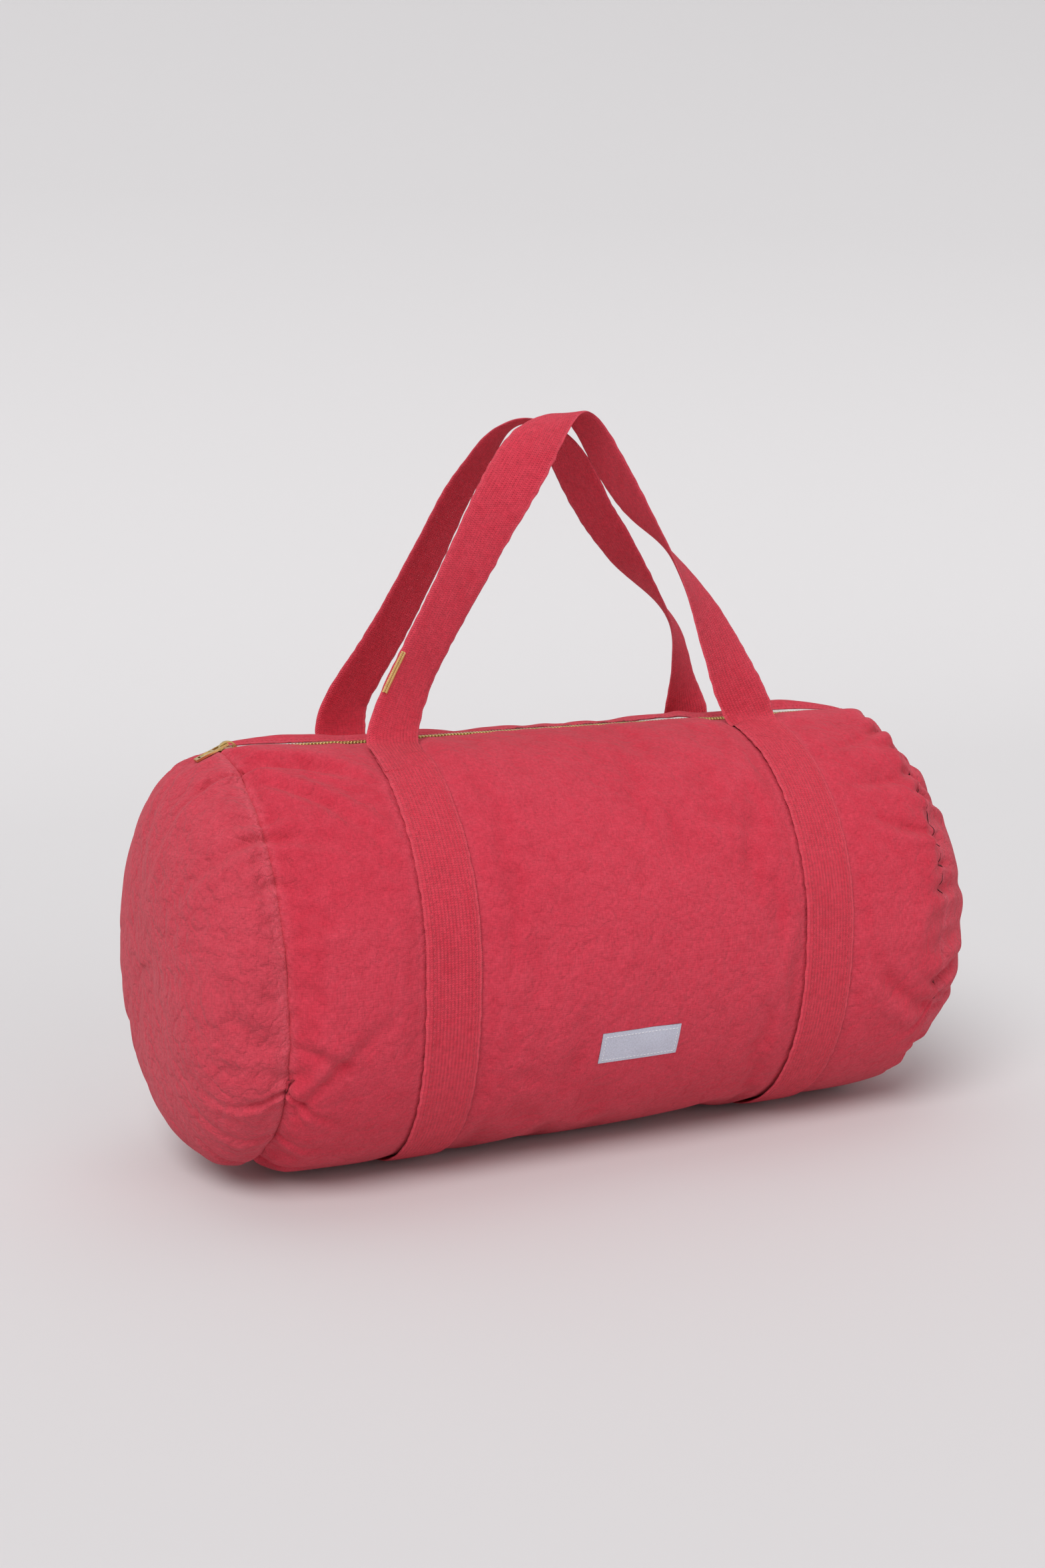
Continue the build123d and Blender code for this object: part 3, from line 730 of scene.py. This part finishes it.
def add_end_panel(end, end_name):
    """A domed end, puckered at its seam and joined to the rim of the wrap."""
    dome = canvas[:dome_count + 1] if end < 0 else canvas[dome_count + barrel_rows - 1:][::-1]
    for _ in range(2):
        dome = refine(refine(dome, 0), 1, closed=True)
    pole = dome[0].mean(axis=0)
    dome = np.concatenate([(pole + (dome[0] - pole) * 0.02)[None], dome])
    dome_turns = np.linspace(0, 2 * math.pi, dome.shape[1], endpoint=False) + edge_turn
    from_seam = np.linalg.norm(dome - dome[-1:], axis=2)
    normals = dome_normals(dome, end)
    pressed = crease_depth(seam_creases[end], dome_turns[None, :], from_seam * 0.8) * 1.1
    pressed += seam_groove(from_seam)
    dome = dome - normals * pressed[..., None]
    rim = barrel_grid[0 if end < 0 else -1]
    pull = np.stack([np.interp(dome_turns, grid_turn, rim[:, k]) for k in range(3)], axis=1) - dome[-1]
    dome = dome + pull[None] * np.exp(-(from_seam / (4 * MM)) ** 2)[..., None]
    dome[..., 2] = np.maximum(dome[..., 2], lowest_cloth)
    if end < 0:
        press_under_puller(dome)
    radial = np.cumsum(np.linalg.norm(np.diff(dome, axis=0, prepend=dome[:1]), axis=2), axis=0)
    uv = np.stack([np.sin(dome_turns) * radial, np.cos(dome_turns) * radial], axis=-1)
    wear = np.clip(np.exp(-(from_seam / (6 * MM)) ** 2) + 0.2, 0, 1)
    piece = shell_piece(f"end_panel_{end_name}_cloth", dome, dome_normals(dome, end), uv, wear,
                        canvas_thickness, end_cloth, closed=True)
    finish_piece(piece, "end_canvas", "bag", f"end_panel_{end_name}")


def add_binding(end, end_name):
    """The binding tape inside the bag, over the seam."""
    ring_turns = np.linspace(edge_turn, 2 * math.pi - edge_turn, 260)
    ring, ring_out = on_canvas(end * (half_length - 3.2 * MM), ring_turns)
    ring_out[:, 0] = 0
    ring_out = unit(ring_out)
    binding = ribbon_piece(f"seam_binding_{end_name}_cloth", ring - ring_out * 6.5 * MM, ring_out,
                           np.broadcast_to((float(end), 0, 0), ring.shape), 9 * MM, 3.6 * MM, binding_cloth)
    finish_piece(binding, "binding", "bag", f"seam_binding_{end_name}")


for side_name in sides:
    add_canvas(side_name)
for end, end_name in ((-1, "left"), (1, "right")):
    add_end_panel(end, end_name)
    add_binding(end, end_name)


# ---- Webbing straps, laid on the canvas ----
def run_length(points):
    """How far along a line of points each one is."""
    return np.concatenate([[0.0], np.cumsum(np.linalg.norm(np.diff(points, axis=0), axis=1))])


def sample(places, marks, values):
    return np.stack([np.interp(places, marks, values[:, k]) for k in range(values.shape[1])], axis=1)


def settle(values, times):
    """Smooth a line of values. Its two ends stay."""
    for _ in range(times):
        values[1:-1] = values[1:-1] * 0.5 + (values[:-2] + values[2:]) * 0.25


def stitch_row(points, outward, pitch):
    """Even stitches along a line of points: middles, directions and outward directions."""
    along = run_length(points)
    places = np.arange(pitch / 2, along[-1], pitch)
    slopes = np.gradient(points, axis=0)
    middles, runs, ups = (sample(places, along, values) for values in (points, slopes, outward))
    return middles, unit(runs), unit(ups)


def join_rows(rows):
    return [np.concatenate(kind) for kind in zip(*rows)]


def strap_sway(strap_turns, x):
    """A strap isn't sewn on perfectly straight."""
    sway = [noise.noise(Vector((t * 1.3, math.copysign(3.0, x), 0.4))) for t in strap_turns]
    return np.array(sway) * 0.9 * MM


def from_axis(base):
    """Outward directions from the middle line of the barrel's upper half."""
    return unit(base * np.array((0, 1.0, 1.0)) - np.array((0, 0, top_centre_z)))


def add_strap(x, end_name):
    """A strap round the barrel with its two rows of stitching on the front and on the back."""
    strap_turns = np.linspace(20 * deg, 2 * math.pi - 29.5 * deg, 460)
    base = barrel_surface(x, strap_turns)
    outward = np.cross(unit(np.gradient(base, axis=0)), (1.0, 0, 0))
    outward *= np.sign(np.dot(outward[len(outward) // 2], (0, 0, -1)))
    across = np.broadcast_to((1.0, 0, 0), base.shape)
    from_top = np.degrees(np.minimum(strap_turns, 2 * math.pi - strap_turns))
    under_handle = smoothstep((np.where(strap_turns < math.pi, 26.0, 35.0) - from_top) / 3)
    centre = base + outward * (webbing_thickness / 2 + strap_lift - 0.35 * MM * under_handle)[:, None]
    centre[:, 0] += strap_sway(strap_turns, x)
    strap = ribbon_piece(f"strap_{end_name}_webbing", centre, across, outward, webbing_width, webbing_thickness,
                         webbing_cloth)
    finish_piece(strap, "webbing", "bag", f"strap_{end_name}")
    rows = []
    for offset in (-14 * MM, 14 * MM):
        for low_turn, high_turn in ((30 * deg, 139 * deg), (221 * deg, 320 * deg)):
            pick = (strap_turns > low_turn) & (strap_turns < high_turn)
            line = centre[pick] + across[pick] * offset + outward[pick] * (webbing_thickness / 2 + 0.02 * MM)
            rows.append(stitch_row(line, outward[pick], 3.9 * MM))
    stitches = threads_piece(f"strap_stitches_{end_name}", *join_rows(rows), red_thread, 3.0 * MM, 0.75 * MM)
    finish_piece(stitches, "thread", "bag", f"strap_stitching_{end_name}")


def add_strap_tacks():
    """The slanted row that sews each strap down where its handle starts."""
    rows = []
    for x in (-strap_x, strap_x):
        for side in (-1, 1):
            line_x = np.linspace(-13.5 * MM, 13.5 * MM, 60)
            line_turn = (27 if side < 0 else 36) * deg + line_x * math.tan(25 * deg) / barrel_radius
            line_turn = line_turn if side < 0 else 2 * math.pi - line_turn
            base = barrel_surface(np.full(60, x), line_turn)
            base[:, 0] = x + line_x
            radial = from_axis(base)
            line = base + radial * (webbing_thickness + strap_lift + 0.05 * MM)
            rows.append(stitch_row(line, radial, 3.3 * MM))
    tacks = threads_piece("strap_tack_stitches", *join_rows(rows), red_thread, 2.7 * MM, 0.8 * MM)
    finish_piece(tacks, "thread", "bag", "strap_tack_stitching")


# ---- Handles: one length of webbing each, turned edgeways at the top ----
# Each leg: across, height above the fold (millimetres) and how far the webbing has turned (degrees).
handle_legs = {
    "front": ([(-149, 0, 0), (-148, 12, -6), (-138.5, 34, -17), (-125.5, 58, -24), (-105.6, 89, -22),
               (-85.5, 120, -15), (-66.8, 150, -6), (-40, 189, 24), (-26, 207, 48), (-12, 219, 70),
               (3, 226, 88)],
              [(131, 0, 0), (131, 9, -8), (121, 30, -6), (112, 52, 10), (100.5, 78.5, 25), (87, 104.6, 45),
               (68, 132, 66), (50.4, 152, 86), (42, 164, 93), (28.3, 187, 97), (15, 212, 94)]),
    "rear": ([(-150, 0, 0), (-150, 9, 4), (-146, 24, 16), (-130, 48, 22), (-112, 77, 25), (-86, 126, 30),
              (-66, 167, 35), (-41, 204, 46), (-26, 217, 66), (-8, 221, 90)],
             [(130, 0, 180), (128, 8, 168), (125.5, 16, 156), (124.5, 30, 145), (119.5, 56, 131),
              (111, 74, 114), (101, 86, 102), (76, 113, 77), (55, 140, 66), (40, 160, 66), (25.5, 185, 64),
              (11, 208, 78)]),
}
# Where each handle lies on the barrel: degrees from the top at its start, the tack row and its end.
handle_laps = {"front": (29.5, 24.5, 13.5), "rear": (38.0, 33.5, 29.5)}
bare_height = {"front": 16 * MM, "rear": 2 * MM}        # the leg stands free above this height
loop_top = 226
lean = math.radians(6.93)
sideways_sag = 0.465


def handle_legs_line(side_name):
    """The middle line of both legs above the barrel, and the directions across the webbing."""
    side = sides[side_name]
    lean_up = np.array((0, -side * math.sin(lean), math.cos(lean)))
    inward = np.array((0, -side * math.cos(lean), -math.sin(lean)))
    near, far = handle_legs[side_name]
    stations = np.array(near + far[::-1], float)
    marks = run_length(stations[:, :2])
    places = np.arange(0, marks[-1], 1.5)
    smooth = sample(places, marks, stations[:, :2])
    twist = np.radians(np.interp(places, marks, stations[:, 2]))
    settle(smooth, 22)
    settle(twist, 22)
    slope = unit(np.gradient(smooth, axis=0))
    sag = 20 * (1 - smooth[:, 1] / loop_top)
    middle = (np.array((0, side * abs(handle_pivot.y), handle_pivot.z))
              + np.outer((smooth[:, 0] + sideways_sag * sag) * MM, (1, 0, 0))
              + np.outer(smooth[:, 1] * MM, lean_up) + np.outer(-side * sag * MM, inward))
    out_flat = np.outer(-slope[:, 1], (1, 0, 0)) + np.outer(slope[:, 0], lean_up)
    across = out_flat * np.cos(twist)[:, None] + inward * np.sin(twist)[:, None]
    return middle, across, (smooth[0, 0], smooth[-1, 0])


def handle_line(side_name):
    """The whole handle: from the barrel up over the loop and down to the barrel again."""
    side = sides[side_name]
    middle, across, foot_xs = handle_legs_line(side_name)
    start_angle, tack_angle, end_angle = handle_laps[side_name]
    lap = np.radians(np.linspace(start_angle, end_angle, 22))
    lap_turns = lap if side < 0 else 2 * math.pi - lap
    ends = []
    for x, order in zip(foot_xs, (1, -1)):
        strap = math.copysign(strap_x, x)
        base = barrel_surface(np.full(len(lap), strap), lap_turns)
        base[:, 0] += strap_sway(lap_turns, strap)
        radial = from_axis(base)
        sunk = 0.3 * MM * smoothstep((np.degrees(lap) - tack_angle + 1.5) / 3)
        ends.append((base + radial * (webbing_thickness / 2 + strap_lift - sunk)[:, None])[::order])
    above = middle[:, 2] > handle_pivot.z + bare_height[side_name]
    centre = np.concatenate([ends[0], middle[above], ends[1]])
    across = np.concatenate([np.repeat(across[:1], len(lap), 0), across[above],
                             np.repeat(across[-1:], len(lap), 0)])
    marks = run_length(centre)
    places = np.arange(0, marks[-1], 1.3 * MM)
    centre, across = sample(places, marks, centre), sample(places, marks, across)
    settle(centre, 30)
    run = unit(np.gradient(centre, axis=0))
    across = unit(across - run * np.sum(across * run, axis=1, keepdims=True))
    return centre, across, np.cross(across, run) * side, run


def add_handle(side_name):
    centre, across, outward = handle_line(side_name)[:3]
    handle = ribbon_piece(f"handle_{side_name}_webbing", centre, across, outward, webbing_width,
                          webbing_thickness, webbing_cloth)
    finish_piece(handle, "webbing", None, f"handle_{side_name}")
    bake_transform(handle)


def add_bar_tack():
    """Two rows of satin stitch in gold thread along the edge of the front handle's near leg."""
    centre, across, outward, run = handle_line("front")
    start = int(np.argmax(centre[:, 2] - handle_pivot.z > 32 * MM))
    middles, runs, ups = [], [], []
    for step in range(start, start + 22):
        for offset, slant in ((17.6, -0.28), (15.4, 0.28)):
            for part in (0.0, 0.5):
                place = centre[step] * (1 - part) + centre[step + 1] * part
                middles.append(place + across[step] * offset * MM
                               + outward[step] * (webbing_thickness / 2 + 0.15 * MM))
                runs.append(unit(across[step] + run[step] * slant))
                ups.append(outward[step])
    tack = threads_piece("gold_bar_tack", middles, runs, ups, gold_thread, 2.5 * MM, 0.72 * MM)
    finish_piece(tack, "gold_thread", "handle_front", "handle_bar_tack")


# ---- Label ----
def add_label():
    """A blank woven label, sewn on along its four sides."""
    low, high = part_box("label")
    turns_down = np.linspace(60 * deg, 150 * deg, 200)
    heights = on_canvas((low[0] + high[0]) / 2, turns_down)[0][:, 2]
    turn_top, turn_low = (np.interp(-z, -heights, turns_down) for z in (high[2], low[2]))
    across_x = np.linspace(low[0], high[0], 60)
    down = np.linspace(turn_top, turn_low, 26)
    points, normals = on_canvas(across_x[:, None], down[None, :])
    settle(points, 8)
    rim = np.minimum(np.minimum(across_x - across_x[0], across_x[-1] - across_x)[:, None],
                     (np.minimum(down - down[0], down[-1] - down) * barrel_radius)[None, :])
    points = points + normals * (0.95 * MM - 0.45 * MM * np.exp(-rim / (0.7 * MM)))[..., None]
    uv = grid_of(across_x[:, None], -down[None, :] * barrel_radius)
    label = shell_piece("label_cloth", points, normals, uv, np.zeros(rim.shape), 0.8 * MM, label_cloth)
    finish_piece(label, "label", "bag", "label")
    inset = 2.4 * MM
    left, right = across_x[0] + inset, across_x[-1] - inset
    top, bottom = turn_top + inset / barrel_radius, turn_low - inset / barrel_radius
    border = [(left, top), (right, top), (right, bottom), (left, bottom), (left, top)]
    rows = []
    for (x0, t0), (x1, t1) in zip(border[:-1], border[1:]):
        points, normals = on_canvas(np.linspace(x0, x1, 40), np.linspace(t0, t1, 40))
        rows.append(stitch_row(points + normals * 1.0 * MM, normals, 2.6 * MM))
    stitches = threads_piece("label_stitches", *join_rows(rows), white_thread, 1.9 * MM, 0.5 * MM)
    finish_piece(stitches, "white_thread", "bag", "label_stitching")


# ---- Zip: tapes, teeth and the two rows of stitching ----
tooth_start, tooth_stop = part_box("zip_teeth_front")[0][0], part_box("zip_teeth_rear")[1][0]
tooth_pitch = 2.4 * MM
tooth_lift = 0.6 * MM
tape_thickness = 0.6 * MM
tape_rows = np.array((0.6, 2.0, 4.0, 6.0, 8.5, 11.0, 14.2)) * MM


def tooth_mesh(side):
    """One zip tooth: a small block with a rounded head that hooks over the centre line."""
    outline = [(0.5, -3.4), (0.5, 0.2), (0.34, 0.75), (0.0, 0.95), (-0.34, 0.75), (-0.5, 0.2), (-0.5, -3.4)]
    rings = []
    for level, shrink in ((-0.9, 0.16), (-0.72, 0.0), (0.72, 0.0), (0.9, 0.16)):
        rings.append([((x - math.copysign(min(shrink, abs(x)), x)) * MM,
                       side * -(y - (shrink if y > 0 else 0)) * MM, level * MM) for x, y in outline])
    count = len(outline)
    faces = grid_faces(len(rings), count, closed=True)
    faces += [tuple(range(count)), tuple((len(rings) - 1) * count + i for i in reversed(range(count)))]
    return np.array([v for ring in rings for v in ring]), faces


def on_side(side, turn):
    """The same place on the front (side -1) or on the rear (side 1)."""
    return turn if side < 0 else 2 * math.pi - turn


def add_zip_side(side_name, part, low_x, high_x):
    """One length of one side of the zip: its tape, its teeth and the stitching beside it."""
    side = sides[side_name]
    low, high = max(low_x, -half_length + 4.5 * MM), min(high_x, half_length - 2.0 * MM)
    tape_x = np.linspace(low, high, 120)
    lip_z = on_canvas(tape_x, on_side(side, edge_turn))[0][:, 2]
    under = np.minimum(lip_z - canvas_thickness + 0.3 * MM, tooth_z + tooth_lift)
    tape_turn = on_side(side, np.maximum(tape_rows, zip_reveal) / barrel_radius)
    lining, facing = on_canvas(tape_x[:, None], tape_turn[None, :])
    lining = lining[..., 2] - (canvas_thickness + 0.1 * MM) * np.maximum(facing[..., 2], 0.5)
    beside = smoothstep((tape_rows - 2.5 * MM) / (3.5 * MM))[None, :]
    tape_z = under[:, None] * (1 - beside) + lining * beside
    points = grid_of(tape_x[:, None], side * tape_rows[None, :], tape_z)
    uv = points[..., [1, 0]]
    tape = shell_piece(f"zip_tape_{side_name}_{part}", points, np.broadcast_to((0.0, 0, 1.0), points.shape), uv,
                       np.zeros(uv.shape[:2]), tape_thickness, tape_cloth)
    finish_piece(tape, "zip_tape", None, f"zip_tape_{side_name}")
    follow_mouth(tape, side_name, part)
    template, template_faces = tooth_mesh(side)
    places = np.arange(tooth_start + (0.5 if side < 0 else 1.0) * tooth_pitch, tooth_stop, tooth_pitch)
    places = places[(places >= low_x) & (places < high_x)]
    heights = np.interp(places, tape_x, under) + tooth_lift
    verts = np.concatenate([template + (x, 0, z) for x, z in zip(places, heights)])
    faces = [tuple(i + k * len(template) for i in f) for k in range(len(places)) for f in template_faces]
    teeth = make_piece(f"zip_teeth_{side_name}_{part}", verts, faces, brass)
    finish_piece(teeth, "brass", None, f"zip_teeth_{side_name}")
    follow_mouth(teeth, side_name, part)
    row_turn = on_side(side, edge_turn + 2.6 * MM / barrel_radius)
    points, normals = on_canvas(np.linspace(low, high, 200), row_turn)
    stitches = threads_piece(f"zip_stitches_{side_name}_{part}",
                             *stitch_row(points + normals * 0.02 * MM, normals, 3.4 * MM),
                             red_thread, 2.6 * MM, 0.6 * MM)
    finish_piece(stitches, "thread", None, f"zip_stitching_{side_name}")
    follow_mouth(stitches, side_name, part)


def add_zip_metal():
    """The slider and the stop keep their CAD shapes. The puller hangs lower, on the end panel."""
    for node_name in ("zip_bottom_stop", "zip_slider_body", "zip_slider_bridge", "zip_lock_spring"):
        part = frame["nodes"][node_name]
        part.data.materials.clear()
        part.data.materials.append(brass)
    mesh = frame["nodes"]["zip_puller"].data.copy()
    mesh.materials.clear()
    mesh.materials.append(brass)
    about_pin = Matrix.Translation(puller_pin) @ Matrix.Rotation(-puller_hang, 4, "Y")
    mesh.transform(about_pin @ Matrix.Diagonal(puller_stretch) @ Matrix.Translation(-puller_pin))
    finish_piece(add_object("zip_puller_hanging", mesh), "brass", "puller", "zip_puller")


add_strap(-strap_x, "left")
add_strap(strap_x, "right")
add_strap_tacks()
for side_name in sides:
    add_handle(side_name)
add_bar_tack()
add_label()
for side_name in sides:
    for part, (low_x, high_x) in part_bounds.items():
        add_zip_side(side_name, part, low_x, high_x)
add_zip_metal()
